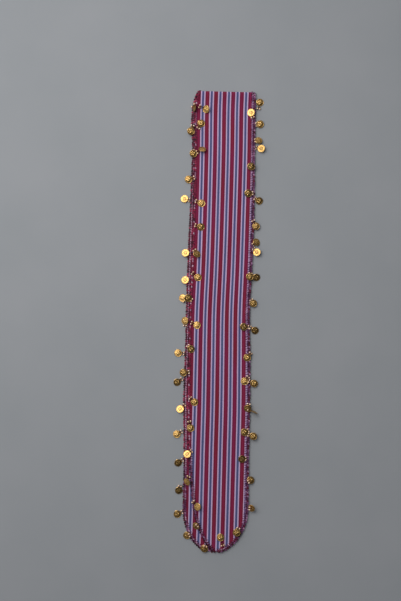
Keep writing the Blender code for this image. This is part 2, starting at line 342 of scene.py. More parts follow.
# %% Warp-faced striped cotton
STRIPE_PITCH = 11.42     # from crimson to crimson
FIRST_CRIMSON = -35.2    # from the middle of the band
LOOM_WIDTH = 100.0       # mm of cloth across for one whole U
LOOM_LENGTH = 1300.0     # mm of cloth along for one whole V
WARP = 0.8
PICK = 1.6
TONE_LENGTH = 70.0       # a yarn keeps its tone about this far
DRIFT_PATCHES = (5, 18)  # in one whole U and one whole V
STRIPES = [
    (0.000, "#86203F"),
    (0.060, "#761737"),
    (0.215, "#701534"),
    (0.240, "#A884A2"),
    (0.285, "#CBADC8"),
    (0.355, "#B2A3CA"),
    (0.395, "#50527D"),
    (0.500, "#484C74"),
    (0.605, "#50527D"),
    (0.645, "#B2A3CA"),
    (0.715, "#CBADC8"),
    (0.765, "#A884A2"),
    (0.790, "#701534"),
    (0.940, "#761737"),
    (1.000, "#86203F"),
]


def dye(tree, uv, across):
    """Return the colour of the stripes, uneven from yarn to yarn and along the band."""
    shifted = add(tree, "ShaderNodeMath",
                  {0: across, 1: -LOOM_WIDTH / 2 - FIRST_CRIMSON + STRIPE_PITCH},
                  operation="ADD")
    repeats = add(tree, "ShaderNodeMath", {0: shifted.outputs[0], 1: STRIPE_PITCH},
                  operation="DIVIDE")
    phase = add(tree, "ShaderNodeMath", {0: repeats.outputs[0]}, operation="FRACT")
    stripes = add(tree, "ShaderNodeValToRGB", {"Fac": phase.outputs[0]})
    fill_ramp(stripes, STRIPES)
    # Each yarn takes the dye a little differently, and keeps its tone for a long way.
    yarn = add(tree, "ShaderNodeVectorMath",
               {0: uv, 1: (LOOM_WIDTH / WARP, LOOM_LENGTH / TONE_LENGTH, 1)},
               operation="MULTIPLY")
    tone = add(tree, "ShaderNodeTexNoise", {"Vector": yarn.outputs[0], "Scale": 1.0,
                                            "Detail": 2.0})
    tone_range = add(tree, "ShaderNodeMapRange",
                     {"Value": tone.outputs["Fac"], "From Min": 0.3, "From Max": 0.7,
                      "To Min": 0.86, "To Max": 1.12})
    yarns = add(tree, "ShaderNodeVectorMath",
                {0: stripes.outputs["Color"], "Scale": tone_range.outputs["Result"]},
                operation="SCALE")
    # The whole dye drifts slowly along the band, from violet to a greener cast.
    length = add(tree, "ShaderNodeVectorMath", {0: uv, 1: (*DRIFT_PATCHES, 1)},
                 operation="MULTIPLY")
    drift = add(tree, "ShaderNodeTexNoise", {"Vector": length.outputs[0], "Scale": 1.0})
    hue = add(tree, "ShaderNodeMapRange",
              {"Value": drift.outputs["Fac"], "From Min": 0.3, "From Max": 0.7,
               "To Min": 0.485, "To Max": 0.512})
    dyed = add(tree, "ShaderNodeHueSaturation", {"Color": yarns.outputs[0],
                                                 "Hue": hue.outputs["Result"]})
    return dyed.outputs["Color"]


def weave(tree, across, along):
    """Return the height of short warp floats, each row half a step on from its neighbour."""
    warp = add(tree, "ShaderNodeMath", {0: across, 1: WARP}, operation="DIVIDE")
    row = add(tree, "ShaderNodeMath", {0: warp.outputs[0]}, operation="FLOOR")
    offset = add(tree, "ShaderNodeMath", {0: row.outputs[0], 1: 0.5}, operation="MULTIPLY")
    pick = add(tree, "ShaderNodeMath", {0: along, 1: PICK}, operation="DIVIDE")
    floats = add(tree, "ShaderNodeMath", {0: pick.outputs[0], 1: offset.outputs[0]},
                 operation="ADD")
    float_phase = add(tree, "ShaderNodeMath", {0: floats.outputs[0], 1: 0.5},
                      operation="PINGPONG")
    warp_height = add(tree, "ShaderNodeMath", {0: warp.outputs[0], 1: 0.5},
                      operation="PINGPONG")
    height = add(tree, "ShaderNodeMath", {0: warp_height.outputs[0], 1: float_phase.outputs[0]},
                 operation="MULTIPLY")
    return height.outputs[0]


def striped_cotton():
    """Warp-faced cotton: dull, with a trace of down on it."""
    material, tree, shader = new_material("warp_faced_striped_cotton")
    uv = add(tree, "ShaderNodeUVMap", uv_map="loom")
    place = add(tree, "ShaderNodeSeparateXYZ", {"Vector": uv.outputs["UV"]})
    across = add(tree, "ShaderNodeMath", {0: place.outputs["X"], 1: LOOM_WIDTH},
                 operation="MULTIPLY")
    along = add(tree, "ShaderNodeMath", {0: place.outputs["Y"], 1: LOOM_LENGTH},
                operation="MULTIPLY")
    colour = dye(tree, uv.outputs["UV"], across.outputs[0])
    tree.links.new(colour, shader.inputs["Base Color"])
    height = weave(tree, across.outputs[0], along.outputs[0])
    bump = add(tree, "ShaderNodeBump", {"Height": height, "Distance": 0.6 * MM,
                                        "Strength": 0.5})
    tree.links.new(bump.outputs["Normal"], shader.inputs["Normal"])
    shader.inputs["Roughness"].default_value = 0.85
    shader.inputs["Specular IOR Level"].default_value = 0.25
    shader.inputs["Sheen Weight"].default_value = 0.03
    shader.inputs["Sheen Roughness"].default_value = 0.4
    return material


COTTON = striped_cotton()

# %% [markdown]
# ## Meshes from points
# Each piece here is worked out as points in millimetres and faces between them. One function
# joins such parts into a single named object, turned to metres, with each face's material. Tubes,
# beads and sequins are all rings of points, so another gives the faces between two rings.

# %% A piece from parts
Part = namedtuple("Part", "points faces material")


def ring_quads(a, b, count):
    """Return the faces between two closed rings of points, whose first points are a and b."""
    following = [*range(1, count), 0]
    return [[a + k, b + k, b + n, a + n] for k, n in enumerate(following)]


def new_piece(name, parts, materials, smooth_angle=50):
    points, faces, slots, count = [], [], [], 0
    for part in parts:
        points.append(np.asarray(part.points, float))
        faces += [[i + count for i in face] for face in part.faces]
        slots += [part.material] * len(part.faces)
        count += len(part.points)
    mesh = bpy.data.meshes.new(name)
    mesh.from_pydata((np.concatenate(points) * MM).tolist(), [], faces)
    for material in materials:
        mesh.materials.append(material)
    mesh.polygons.foreach_set("material_index", slots)
    mesh.shade_smooth()
    mesh.set_sharp_from_angle(angle=math.radians(smooth_angle))
    obj = bpy.data.objects.new(name, mesh)
    bpy.context.scene.collection.objects.link(obj)
    print(f"{name}: {sum(len(f) - 2 for f in faces)} triangles")
    return obj


# %% [markdown]
# ## The band
# The cloth is one closed shell: an outer and an inner face lofted through every section and joined
# along the cut edge. It is modelled directly, since it lies flat and has no drape to simulate. Its
# UV map is written from the same numbers. The lower half of the upper arm is spread a little
# wider than the loom's width, as a band that has been worn and pulled, and its stripes with it.

# %% The folded cloth
COLUMNS = 48
Widening = namedtuple("Widening", "distance share")
SPREAD = [
    Widening(0, 1.0),
    Widening(300, 1.0),
    Widening(360, 1.015),
    Widening(430, 1.03),
    Widening(611, 1.03),
]


def cloth_row(section, travelled):
    """Return a section's outer points, its inner points and their places on the loom."""
    left, right = edges_x(section.arm, section.distance)
    middle = float(read(section.arm.rows, "shift", section.distance))
    across = np.linspace(left, right, COLUMNS + 1)
    z = np.full_like(across, section.z)
    spread = 1.0
    if section.arm is UPPER:
        z += swell(across - middle, section.distance)
        spread = float(read(SPREAD, "share", section.distance))
    middles = np.stack([across, np.full_like(across, FOLD_Y - section.distance), z], 1)
    half_wall = section.normal * CLOTH_WALL / 2
    u = ((across - middle) / spread + LOOM_WIDTH / 2) / LOOM_WIDTH
    loom = np.stack([u, np.full_like(u, travelled / LOOM_LENGTH)], 1)
    return middles + half_wall, middles - half_wall, loom


def cloth_faces(rows):
    """Return the faces of both layers of points, and of the cut edge that joins them."""
    width = COLUMNS + 1
    faces = []
    for layer in (0, rows * width):
        for i in range(rows - 1):
            for k in range(COLUMNS):
                a = layer + i * width + k
                quad = [a, a + 1, a + width + 1, a + width]
                faces.append(quad if layer else quad[::-1])
    rim = [i * width for i in range(rows)]
    rim += [(rows - 1) * width + k for k in range(1, width)]
    rim += [i * width + COLUMNS for i in range(rows - 2, -1, -1)]
    rim += list(range(COLUMNS - 1, 0, -1))
    for a, b in zip(rim, rim[1:] + rim[:1]):
        faces.append([a, b, b + rows * width, a + rows * width])
    return faces


def fold_cloth():
    """Return the cloth, and its length from tip to tip."""
    profile = np.array([[section.distance, section.z] for section in BAND])
    steps = np.linalg.norm(np.diff(profile, axis=0), axis=1)
    travelled = np.concatenate([[0.0], np.cumsum(steps)])
    outer, inner, loom = zip(*[cloth_row(section, at) for section, at in zip(BAND, travelled)])
    cloth = new_piece("striped_band",
                      [Part(np.concatenate(outer + inner), cloth_faces(len(BAND)), 0)], [COTTON])
    places = np.concatenate(loom + loom)
    corners = np.empty(len(cloth.data.loops), int)
    cloth.data.loops.foreach_get("vertex_index", corners)
    cloth.data.uv_layers.new(name="loom")
    cloth.data.uv_layers["loom"].data.foreach_set("uv", places[corners].ravel())
    return cloth, float(travelled[-1])


band, BAND_LENGTH = fold_cloth()
print(f"the band is {BAND_LENGTH:.0f} mm from tip to tip")

# %% [markdown]
# ## The cut edge as a path
# The edging is worked along the cloth's cut edge, so each stitch needs to know where that edge is,
# which way it runs, which way is out from the cloth and which way is up. Points are taken along
# the edge, and then read off at even steps, so that no stitch is stretched round the ends.

# %% Follow the cut edge
Path = namedtuple("Path", "at point onward outward up")
PATH_STEP = 0.5
TIP_GAP = 0.4        # each run ends this far to its own side of the tip
TURN = 7.0           # nearer the fold than this, the edging goes straight out sideways
UNDERNEATH = -0.6    # where the roll faces further down than this, the under arm's run takes over


def edge_points(arm, side):
    """Return the points along one side of one arm's cut edge, and the way up at each."""
    sections = [s for s in BAND if s.arm is arm and s.distance >= ARC_DISTANCE]
    sections.sort(key=lambda s: s.distance)
    if arm is UPPER:
        sections = [s for s in arc_sections() if s.normal[2] > UNDERNEATH] + sections
    points, ways = [], []
    for s in sections:
        x = float(edges_x(s.arm, s.distance)[side])
        lift = 0.0
        if s.arm is UPPER:
            lift = float(swell(x - read(s.arm.rows, "shift", s.distance), s.distance))
        points.append([x, FOLD_Y - s.distance, s.z + lift])
        ways.append(-s.normal if arm is UNDER else s.normal)
    points.append([arm.tip_x + (TIP_GAP if side else -TIP_GAP), *points[-1][1:]])
    ways.append(ways[-1])
    return np.array(points), np.array(ways)


def cut_edge(arm, side):
    """Return the path of one side of one arm, with its points at even steps."""
    points, ways = edge_points(arm, side)
    steps = np.linalg.norm(np.diff(points, axis=0), axis=1)
    travelled = np.concatenate([[0], np.cumsum(steps)])
    at = np.arange(0, travelled[-1], PATH_STEP)
    even = np.stack([np.interp(at, travelled, column) for column in points.T], 1)
    up = unit(np.stack([np.interp(at, travelled, column) for column in ways.T], 1))
    onward = unit(np.gradient(even, axis=0))
    sideways = 1 if side else -1
    outward = np.cross(up, onward) * sideways
    outward[even[:, 1] > FOLD_Y - TURN] = [sideways, 0, 0]
    return Path(at, even, onward, unit(outward), up)


RUNS = {
    "upper_left": (UPPER, 0),
    "upper_right": (UPPER, 1),
    "under_left": (UNDER, 0),
    "under_right": (UNDER, 1),
}
PATHS = {name: cut_edge(*run) for name, run in RUNS.items()}
for name, path in PATHS.items():
    print(f"{name}: {path.at[-1]:.0f} mm of edging")

# %% [markdown]
# ## Thread
# The edging is worked in mercerised cotton: smooth, tightly twisted, with a soft silky gleam. Its
# colour changes along the skein from wine to mauve. The pale pink thread is partly real dye and
# partly a painted highlight, the gleam of lit stitches. The darkest thread is partly real dark
# thread and partly painted shade between the stitches. Each thread is a thin tube along a path.
# The materials differ only in their two dye colours, so one function makes them all.

# %% Mercerised thread, and a tube to make it from
def mercerised_thread(name, dark, light):
    material, tree, shader = new_material(name)
    place = add(tree, "ShaderNodeTexCoord")
    dye = add(tree, "ShaderNodeTexNoise", {"Vector": place.outputs["Object"], "Scale": 160.0,
                                           "Detail": 2.0})
    colour = add(tree, "ShaderNodeValToRGB", {"Fac": dye.outputs["Fac"]})
    fill_ramp(colour, [(0.35, dark), (0.65, light)])
    tree.links.new(colour.outputs["Color"], shader.inputs["Base Color"])
    # Fine lint and twist, 0.3 mm across.
    twist = add(tree, "ShaderNodeTexNoise", {"Vector": place.outputs["Object"],
                                             "Scale": 3300.0, "Detail": 1.0})
    bump = add(tree, "ShaderNodeBump", {"Height": twist.outputs["Fac"], "Distance": 0.2 * MM,
                                        "Strength": 0.4})
    tree.links.new(bump.outputs["Normal"], shader.inputs["Normal"])
    shader.inputs["Roughness"].default_value = 0.5
    shader.inputs["Specular IOR Level"].default_value = 0.3
    return material


def tube(path, radius, sides=5, closed=False):
    """Return a tube's points and faces, along an open or closed path."""
    path = np.asarray(path, float)
    count = len(path)
    if closed:
        ahead = unit(np.roll(path, -1, 0) - np.roll(path, 1, 0))
    else:
        ahead = unit(np.gradient(path, axis=0))
    aside = unit(np.cross(ahead, [0, 0, 1]))
    above = np.cross(aside, ahead)
    turn = 2 * math.pi * np.arange(sides) / sides
    ring = (np.cos(turn)[None, :, None] * aside[:, None] + np.sin(turn)[None, :, None]
            * above[:, None])
    points = (path[:, None] + radius * ring).reshape(-1, 3)
    faces = []
    for i in range(count if closed else count - 1):
        faces += ring_quads(i * sides, (i + 1) % count * sides, sides)
    if not closed:
        faces.append(list(range(sides)))
        faces.append([(count - 1) * sides + k for k in range(sides)][::-1])
    return points, faces


# The pale pink thread is partly painted highlight, for lit stitches; the near-black thread is
# partly painted shade, for the dark between stitches.
CRIMSON, WINE, PINK_AND_HIGHLIGHT, PLUM, MAUVE, DARK_AND_SHADE = range(6)
THREADS = [
    mercerised_thread("crimson_mercerised_thread", "#8A1A40", "#B0385C"),
    mercerised_thread("wine_mercerised_thread", "#4E0C26", "#761C3C"),
    mercerised_thread("pink_thread_and_painted_highlight", "#B07E9E", "#E0BCD2"),
    mercerised_thread("plum_mercerised_thread", "#54264E", "#84507E"),
    mercerised_thread("mauve_mercerised_thread", "#8A5A86", "#BE92B4"),
    mercerised_thread("dark_thread_and_painted_shade", "#2A0818", "#460F2A"),
]
print("threads:", [m.name for m in THREADS])

# %% [markdown]
# ## The crocheted edging
# Two rows are worked round the band. The inner one is a chain on the cut edge: each loop has a
# full head and a narrow tail that passes under the head before it. Legs cross over the cloth's
# margin to hold it, and ties go over it between the heads. The outer row is of slanted picots,
# small loops that make the scalloped outline. Each kind of stitch is drawn once, in its own axes
# of along, out and up, and is then set at even steps along the path. Each stitch takes one of its
# run's colours by chance. That is partly variegated thread and partly painted light: pale pink is a
# painted highlight on lit stitches, and the darkest colour is painted shade between them. The
# stitches are drawn a little coarser than real ones, which are about 2.5 mm, so that they show in
# the render.

# %% Four stitches, set along the path
CHAIN_STEP = 3.1
PICOT_STEP = 2.8
STITCH_SIDES = 6


def chain_loop():
    """Return a chain stitch, whose full head stands up over its narrow tail."""
    t = np.linspace(0, 2 * math.pi, 12, endpoint=False)
    head = np.cos(t)
    along = 1.45 * head
    out = 0.75 + 0.52 * np.sin(t) * (1 + 0.75 * head)
    up = 0.45 + 0.35 * head
    return tube(np.stack([along, out, up], 1), 0.38, STITCH_SIDES, closed=True)


def picot():
    """Return a picot, a small loop that leans onward as it goes out."""
    t = np.linspace(0, 2 * math.pi, 11, endpoint=False)
    far = np.cos(t)
    out = 0.85 * far
    along = 0.55 * np.sin(t) * (1.2 + 0.4 * far) + 0.5 * out
    up = 0.2 - 0.1 * far
    return tube(np.stack([along, 2.4 + out, up], 1), 0.48, STITCH_SIDES, closed=True)


def leg():
    """Return a leg that goes over the margin, slanting back."""
    steps = [(0.7, 0.9, 0.35), (0.5, 0.5, 0.75), (0.15, 0.0, 0.92), (-0.3, -0.6, 0.95),
             (-0.7, -1.15, 0.85), (-0.85, -1.35, 0.55)]
    return tube(steps, 0.3, STITCH_SIDES)


def tie():
    """Return a tie that starts outside the chain and goes over it between two heads."""
    steps = [(-1.5, 1.75, 0.5), (-1.35, 1.2, 1.0), (-1.1, 0.6, 1.15), (-0.8, -0.1, 1.05),
             (-0.4, -0.8, 0.95), (0.0, -1.5, 0.85), (0.1, -1.7, 0.5)]
    return tube(steps, 0.34, STITCH_SIDES)


def set_along(stitch, path, step, stretches, seed, jitter, inset):
    """Set copies of a stitch along a path, at even steps, as one part for each colour."""
    points, faces = stitch
    random = np.random.default_rng(seed)
    places = np.arange(step / 2, path.at[-1] - step / 3, step)
    places = places + random.uniform(-jitter, jitter, len(places))
    index = np.clip(np.searchsorted(path.at, places), 0, len(path.at) - 1)
    out = points[None, :, 1:2] - inset + random.uniform(-jitter, jitter, (len(index), 1, 1))
    turned = (path.point[index][:, None]
              + points[None, :, :1] * path.onward[index][:, None]
              + out * path.outward[index][:, None]
              + points[None, :, 2:] * path.up[index][:, None])
    starts = [start for start, _ in stretches]
    chances = random.random(len(index))
    dyed = []
    for at, chance in zip(path.at[index], chances):
        colours = stretches[np.searchsorted(starts, at, side="right") - 1][1]
        dyed.append(colours[int(chance * len(colours))])
    parts = []
    for colour in sorted(set(dyed)):
        chosen = turned[np.array(dyed) == colour]
        copies = range(len(chosen))
        all_faces = [[i + n * len(points) for i in face] for n in copies for face in faces]
        parts.append(Part(chosen.reshape(-1, 3), all_faces, colour))
    return parts


print(f"about {sum(p.at[-1] for p in PATHS.values()) / CHAIN_STEP:.0f} chain stitches in all")

# %% [markdown]
# ## Colours along the thread, and the rows
# The edging differs from side to side: the left edges are mostly wine and crimson with some pink,
# the right ones plum and mauve, and three of the four change towards the tips. So one table gives
# each run's colours for each row from a distance on, and another says how the rows are worked. A
# run's inset is how far its inner row is drawn in over the cloth. Dark strands run on below both
# rows and show between the stitches as painted shade.

# %% Colours and rows of the edging
Colours = namedtuple("Colours", "start chain picots legs ties")
REDS = (WINE, CRIMSON, WINE, DARK_AND_SHADE)
PURPLES = (PLUM, MAUVE, PLUM, WINE)
DARKS = (WINE, DARK_AND_SHADE, PLUM, DARK_AND_SHADE)
SKEIN = {
    "upper_left": [
        Colours(0, (CRIMSON, WINE, CRIMSON, PINK_AND_HIGHLIGHT), REDS, (WINE, CRIMSON), (DARK_AND_SHADE, WINE)),
        Colours(490, (PLUM, WINE, MAUVE), DARKS, (PLUM, WINE), (DARK_AND_SHADE, WINE)),
    ],
    "upper_right": [
        Colours(0, (PLUM, MAUVE), PURPLES, (PLUM, MAUVE), (DARK_AND_SHADE, PLUM)),
        Colours(585, (WINE, PLUM, PINK_AND_HIGHLIGHT), DARKS, (WINE, CRIMSON), (DARK_AND_SHADE, WINE)),
    ],
    "under_left": [
        Colours(0, (PINK_AND_HIGHLIGHT,), REDS, (CRIMSON, WINE), (DARK_AND_SHADE, WINE)),
        Colours(500, (MAUVE, PLUM, PINK_AND_HIGHLIGHT), DARKS, (PLUM, WINE), (DARK_AND_SHADE, WINE)),
    ],
    "under_right": [Colours(0, (PLUM, MAUVE), PURPLES, (MAUVE, PLUM), (DARK_AND_SHADE, PLUM))],
}
INSET = {"upper_left": 0.3, "upper_right": 1.1, "under_left": 0.8, "under_right": 0.0}
Stitch = namedtuple("Stitch", "row shape step jitter drawn_in")
STITCHES = [
    Stitch("chain", chain_loop(), CHAIN_STEP, 0.1, drawn_in=True),
    Stitch("picots", picot(), PICOT_STEP, 0.3, drawn_in=False),
    Stitch("legs", leg(), CHAIN_STEP, 0.2, drawn_in=True),
    Stitch("ties", tie(), CHAIN_STEP, 0.1, drawn_in=True),
]
Strand = namedtuple("Strand", "out up radius colour")
# The strands are dark so that they paint the shade between the stitches.
STRANDS = [Strand(0.55, 0.05, 0.42, DARK_AND_SHADE), Strand(1.5, 0.0, 0.45, WINE)]


def crochet(name):
    """Return all the stitches of one run, and the strands that run on below them."""
    path = PATHS[name]
    seed = sorted(RUNS).index(name)
    parts = []
    for i, stitch in enumerate(STITCHES):
        stretches = [(colours.start, getattr(colours, stitch.row)) for colours in SKEIN[name]]
        inset = INSET[name] if stitch.drawn_in else 0.0
        parts += set_along(stitch.shape, path, stitch.step, stretches, seed + 10 * i,
                           stitch.jitter, inset)
    for strand in STRANDS:
        line = path.point + strand.out * path.outward + strand.up * path.up
        parts.append(Part(*tube(line[::2], strand.radius), strand.colour))
    return parts


print("rows of stitches:", ", ".join(stitch.row for stitch in STITCHES))

# %% [markdown]
# ## What lies below
# The sequins and beads have to rest on something: the floor, the edging or the cloth. One function
# gives the height of whatever lies highest at a point, from the signed distance to each arm's cut
# edge. That keeps every piece on its support, whatever its place.

# %% The height of the ground
EDGING_REACH = 3.6    # out from the cut edge
EDGING_INSIDE = 1.3   # in over the cloth
EDGING_TOP = 0.95     # above the middle of the cloth


def nearest_edge(arm, x, y):
    """Return how near an arm's cut edge is to x, y, how far out from it that is, and its height."""
    found = []
    for name, (run_arm, _) in RUNS.items():
        if run_arm is arm:
            path = PATHS[name]
            gap = np.array([x, y]) - path.point[:, :2]
            i = int(np.argmin((gap ** 2).sum(1)))
            away = float(np.hypot(*gap[i]))
            found.append((away, float(gap[i] @ path.outward[i][:2]), float(path.point[i, 2])))
    return min(found)


def ground(x, y):
    """Return the height that a piece resting at x, y lies on."""
    height = 0.0
    distance = FOLD_Y - y
    for arm in (UNDER, UPPER):
        away, out, level = nearest_edge(arm, x, y)
        if out <= 0 and 0 < distance < ARM_LENGTH:
            z = UNDER_Z
            if arm is UPPER:
                middle = float(read(arm.rows, "shift", distance))
                z = upper_section(distance).z + float(swell(x - middle, distance))
            height = max(height, z + CLOTH_WALL / 2)
        if -EDGING_INSIDE < out < EDGING_REACH and away < EDGING_REACH + EDGING_INSIDE:
            height = max(height, level + EDGING_TOP)
    return height


print(f"on the floor {ground(-80, 0):.1f}, on the band {ground(0, 0):.1f}, in mm")

# %% [markdown]
# ## Sequins
# These are thin brass discs, struck in a die and gilt. The die leaves a rolled rim, a ring of
# dots, a rosette and a boss, with a hole punched near the rim for the thread. This is a generic
# design with nothing on it to read. The relief is real geometry, since it is what glints: a polar
# grid whose heights come from a few bumps. A Boolean modifier punches the hole. Old gilding is
# brassy, with brown tarnish left in the hollows, so the mesh also stores how raised each point is.

# %% Strike one sequin
SEQUIN_RADIUS = 5.0
SEQUIN_WALL = 0.3
HOLE_OUT = 3.75
HOLE_RADIUS = 0.55
HOLE_SIDES = 14
PUNCH_LENGTH = 4.0
SPOKES = 96
RINGS = [0.0, 0.3, 0.6, 0.9, 1.2, 1.6, 2.0, 2.4, 2.8, 3.1, 3.35, 3.6, 3.8, 4.0, 4.2, 4.4, 4.6,
         4.75, 4.9, 5.0]
UNDERSIDE_RINGS = [5.0, 4.0, 2.0]
DOME = 0.30
DOTS = 16
PETALS = 6
FULLY_RAISED = 0.14   # relief that stands this high over the dome is rubbed bright


def dome(r):
    """Return the height of the disc's shallow dome."""
    return DOME * (1 - (r / SEQUIN_RADIUS) ** 2)


def ridge(r, place, width, height):
    """Return a smooth round ridge at one distance from the middle."""
    return height * np.exp(-((r - place) / width) ** 2)


def relief(r, angle):
    """Return the struck face's height."""
    rim = ridge(r, place=4.72, width=0.20, height=0.18)
    dots = ridge(r, place=4.0, width=0.28, height=0.18) * np.clip(np.cos(DOTS * angle), 0, 1)
    ring = ridge(r, place=3.3, width=0.14, height=0.10)
    petals = ridge(r, place=1.9, width=0.75, height=0.34) * (0.5 + 0.5 * np.cos(PETALS * angle))
    boss = ridge(r, place=0.0, width=0.6, height=0.24)
    return dome(r) + rim + dots + ring + petals + boss


def blank_sequin():
    """Return a struck disc that has no hole yet, as a piece."""
    angles = 2 * math.pi * np.arange(SPOKES) / SPOKES
    points = [(0.0, 0.0, float(relief(0.0, 0.0)))]
    for r in RINGS[1:]:
        points += [(r * math.cos(a), r * math.sin(a), float(relief(r, a))) for a in angles]
    for r in UNDERSIDE_RINGS:
        z = dome(r) - SEQUIN_WALL
        points += [(r * math.cos(a), r * math.sin(a), z) for a in angles]
    faces = [[0, 1 + k, 1 + (k + 1) % SPOKES] for k in range(SPOKES)]
    starts = range(1, len(points), SPOKES)
    for a, b in zip(starts, starts[1:]):
        faces += ring_quads(a, b, SPOKES)
    faces.append([starts[-1] + k for k in range(SPOKES)][::-1])
    return new_piece("sequin_blank", [Part(np.array(points), faces, 0)], [])


def strike_sequin():
    """Return the sequin's points, faces and how far each point is raised in the relief."""
    blank = blank_sequin()
    punch_mesh = bpy.data.meshes.new("punch")
    form = bmesh.new()
    bmesh.ops.create_cone(form, cap_ends=True, segments=HOLE_SIDES, radius1=HOLE_RADIUS * MM,
                          radius2=HOLE_RADIUS * MM, depth=PUNCH_LENGTH * MM)
    bmesh.ops.translate(form, verts=form.verts, vec=(HOLE_OUT * MM, 0, 0))
    form.to_mesh(punch_mesh)
    form.free()
    punch = bpy.data.objects.new("punch", punch_mesh)
    bpy.context.scene.collection.objects.link(punch)
    cut = blank.modifiers.new("Punch the hole", "BOOLEAN")
    cut.operation = "DIFFERENCE"
    cut.object = punch
    bpy.context.view_layer.update()
    struck = blank.evaluated_get(bpy.context.evaluated_depsgraph_get()).to_mesh()
    points = np.array([v.co[:] for v in struck.vertices]) / MM
    faces = [list(p.vertices) for p in struck.polygons]
    for obj in (blank, punch):
        bpy.data.objects.remove(obj)
    over_dome = points[:, 2] - dome(np.hypot(points[:, 0], points[:, 1]))
    return points, faces, np.clip(over_dome / FULLY_RAISED, 0, 1)


SEQUIN_POINTS, SEQUIN_FACES, SEQUIN_RAISED = strike_sequin()
print(f"one sequin has {len(SEQUIN_FACES)} faces")

# %% [markdown]
# ## Gilt
# Gilding is a thin skin of gold over brass, so the shader is a metal with a warm yellow colour. It
# is bright where the relief rubs against things and brown in the hollows. The seed beads are clear
# glass with a gilt lining, so a warm pale metal shows through a smooth clear coat. That is why
# they glint like pinpoints beside the duller sequins. Between them and each sequin sits a pair of
# smaller, browner beads of drawn brass.

# %% Struck gilt brass and gilt-lined beads
def struck_gilt_brass():
    material, tree, shader = new_material("struck_gilt_brass")
    raised = add(tree, "ShaderNodeAttribute", attribute_name="raised")
    place = add(tree, "ShaderNodeTexCoord")
    tarnish = add(tree, "ShaderNodeTexNoise", {"Vector": place.outputs["Object"],
                                               "Scale": 420.0, "Detail": 3.0})
    worn = add(tree, "ShaderNodeMath", {0: raised.outputs["Fac"], 1: tarnish.outputs["Fac"]},
               operation="ADD")
    tone = add(tree, "ShaderNodeValToRGB", {"Fac": worn.outputs[0]})
    fill_ramp(tone, [(0.30, "#55381A"), (0.60, "#B68648"), (1.0, "#E8BC74")])
    rough = add(tree, "ShaderNodeMapRange",
                {"Value": tarnish.outputs["Fac"], "From Min": 0.3, "From Max": 0.7,
                 "To Min": 0.20, "To Max": 0.34})
    # Each sequin has taken the tarnish differently: broad patches, a sequin wide.
    lot = add(tree, "ShaderNodeTexNoise", {"Vector": place.outputs["Object"], "Scale": 70.0})
    lot_tone = add(tree, "ShaderNodeMapRange",
                   {"Value": lot.outputs["Fac"], "From Min": 0.35, "From Max": 0.65,
                    "To Min": 0.6, "To Max": 1.0})
    toned = add(tree, "ShaderNodeVectorMath",
                {0: tone.outputs["Color"], "Scale": lot_tone.outputs["Result"]},
                operation="SCALE")
    tree.links.new(toned.outputs[0], shader.inputs["Base Color"])
    tree.links.new(rough.outputs["Result"], shader.inputs["Roughness"])
    shader.inputs["Metallic"].default_value = 1.0
    return material


def gilt_lined_glass():
    material, tree, shader = new_material("gilt_lined_glass_seed_bead")
    place = add(tree, "ShaderNodeTexCoord")
    lot = add(tree, "ShaderNodeTexNoise", {"Vector": place.outputs["Object"], "Scale": 300.0})
    tone = add(tree, "ShaderNodeValToRGB", {"Fac": lot.outputs["Fac"]})
    fill_ramp(tone, [(0.35, "#EDBE94"), (0.65, "#FFDFC2")])
    tree.links.new(tone.outputs["Color"], shader.inputs["Base Color"])
    shader.inputs["Metallic"].default_value = 0.5
    shader.inputs["Roughness"].default_value = 0.35
    shader.inputs["Coat Weight"].default_value = 1.0
    shader.inputs["Coat Roughness"].default_value = 0.03
    return material


def drawn_gilt_bead():
    material, tree, shader = new_material("drawn_gilt_brass_bead")
    place = add(tree, "ShaderNodeTexCoord")
    wear = add(tree, "ShaderNodeTexNoise", {"Vector": place.outputs["Object"], "Scale": 900.0})
    tone = add(tree, "ShaderNodeValToRGB", {"Fac": wear.outputs["Fac"]})
    fill_ramp(tone, [(0.35, "#6E4A20"), (0.65, "#B48650")])
    tree.links.new(tone.outputs["Color"], shader.inputs["Base Color"])
    shader.inputs["Metallic"].default_value = 1.0
    shader.inputs["Roughness"].default_value = 0.3
    return material


GILT = struck_gilt_brass()
BEADS = [gilt_lined_glass(), drawn_gilt_bead()]
print("finishes:", GILT.name, [m.name for m in BEADS])

# %% [markdown]
# ## Where each sequin has fallen
# Each sequin hangs on its own loop, so each has fallen its own way. The tables give its stitch, as
# the distance from the fold, and the place of its middle and of its beads, out from the cloth's
# edge and along towards the tip. Its tilt and the way it faces (0 is right, 90 is to the fold)
# decide whether it mirrors the lamp or the dark, and a few stand nearly on edge.

